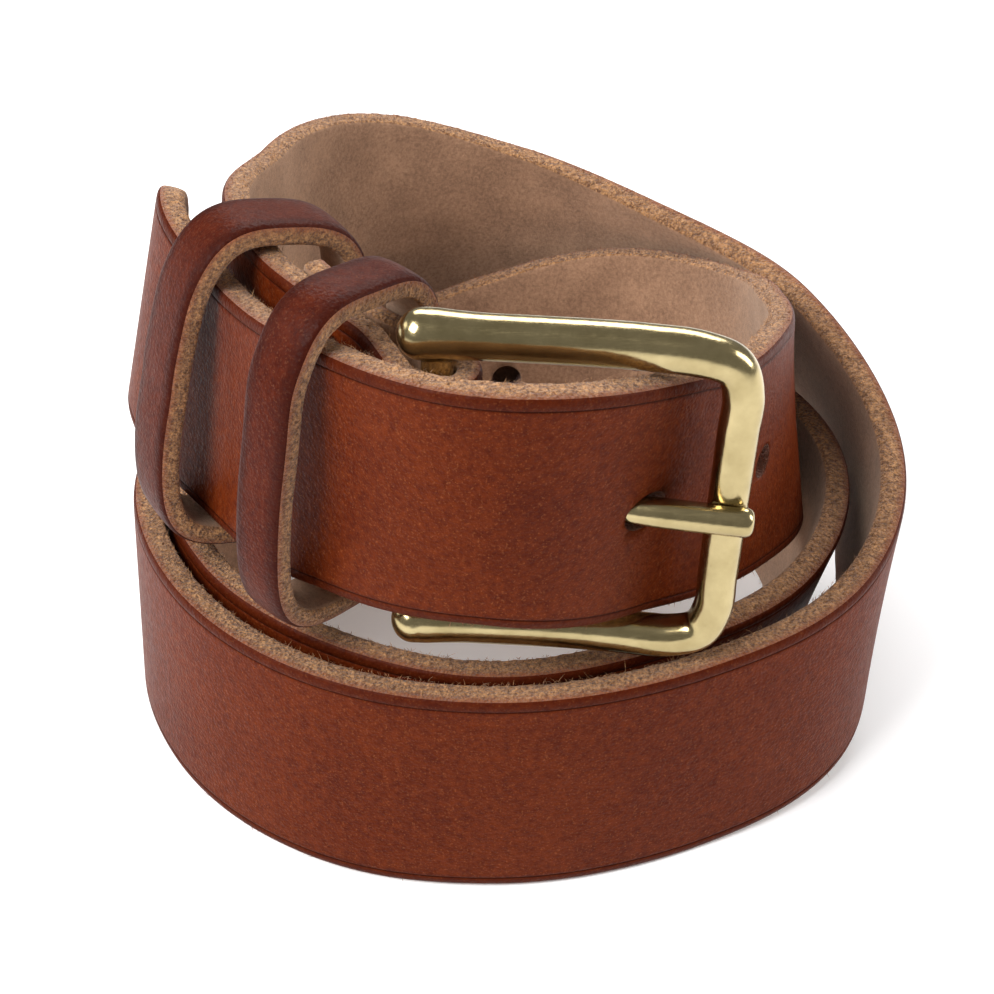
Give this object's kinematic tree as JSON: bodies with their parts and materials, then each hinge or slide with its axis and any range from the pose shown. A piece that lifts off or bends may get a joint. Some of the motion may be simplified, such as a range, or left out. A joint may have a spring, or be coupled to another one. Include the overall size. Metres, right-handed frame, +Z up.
{
  "type": "coiled leather belt",
  "caption": "Coiled leather belt, buckled shut: a brass frame buckle with a prong at the folded end, a fixed and a sliding leather loop, and a punched strap standing on its edge.",
  "frame": {"origin": "middle of the bounding box's bottom, on the surface the coil stands on", "axes": "+Z up; -Y towards the buckle's face, +X from the heel bar to the outer bar"},
  "size_m": [0.124, 0.1228, 0.0957],
  "materials": {
    "leather": "smooth chestnut grain side, suede flesh side, raw edges",
    "keeper_leather": "smooth dark chestnut, raw edges",
    "brass": "polished, lightly brushed",
    "staple_wire": "drawn wire",
    "thread": "waxed thread"
  },
  "bodies": {
    "strap": {"strap": "leather", "fixed_keeper": "keeper_leather", "fixed_keeper_staple": "staple_wire", "turn_back_thread_1": "thread", "turn_back_thread_2": "thread"},
    "buckle_frame": {"buckle_frame": "brass"},
    "prong": {"prong": "brass"},
    "sliding_keeper": {"sliding_keeper": "keeper_leather", "sliding_keeper_staple": "staple_wire"}
  },
  "joints": [
    {"name": "frame_swing", "type": "hinge", "parent": "strap", "child": "buckle_frame", "pos_m": [-0.01038, -0.04686, 0.06685], "axis": [-0.0456, -0.0079, -0.9989], "range_deg": [-1, 1]},
    {"name": "prong_swing", "type": "hinge", "parent": "buckle_frame", "child": "prong", "pos_m": [-0.01038, -0.04686, 0.06685], "axis": [-0.0456, -0.0079, -0.9989], "range_deg": [0, 0.8]},
    {"name": "keeper_slide", "type": "slide", "parent": "strap", "child": "sliding_keeper", "axis": [0.5058, -0.8622, 0.0279], "range_m": [-0.001, 0.006]}
  ]
}
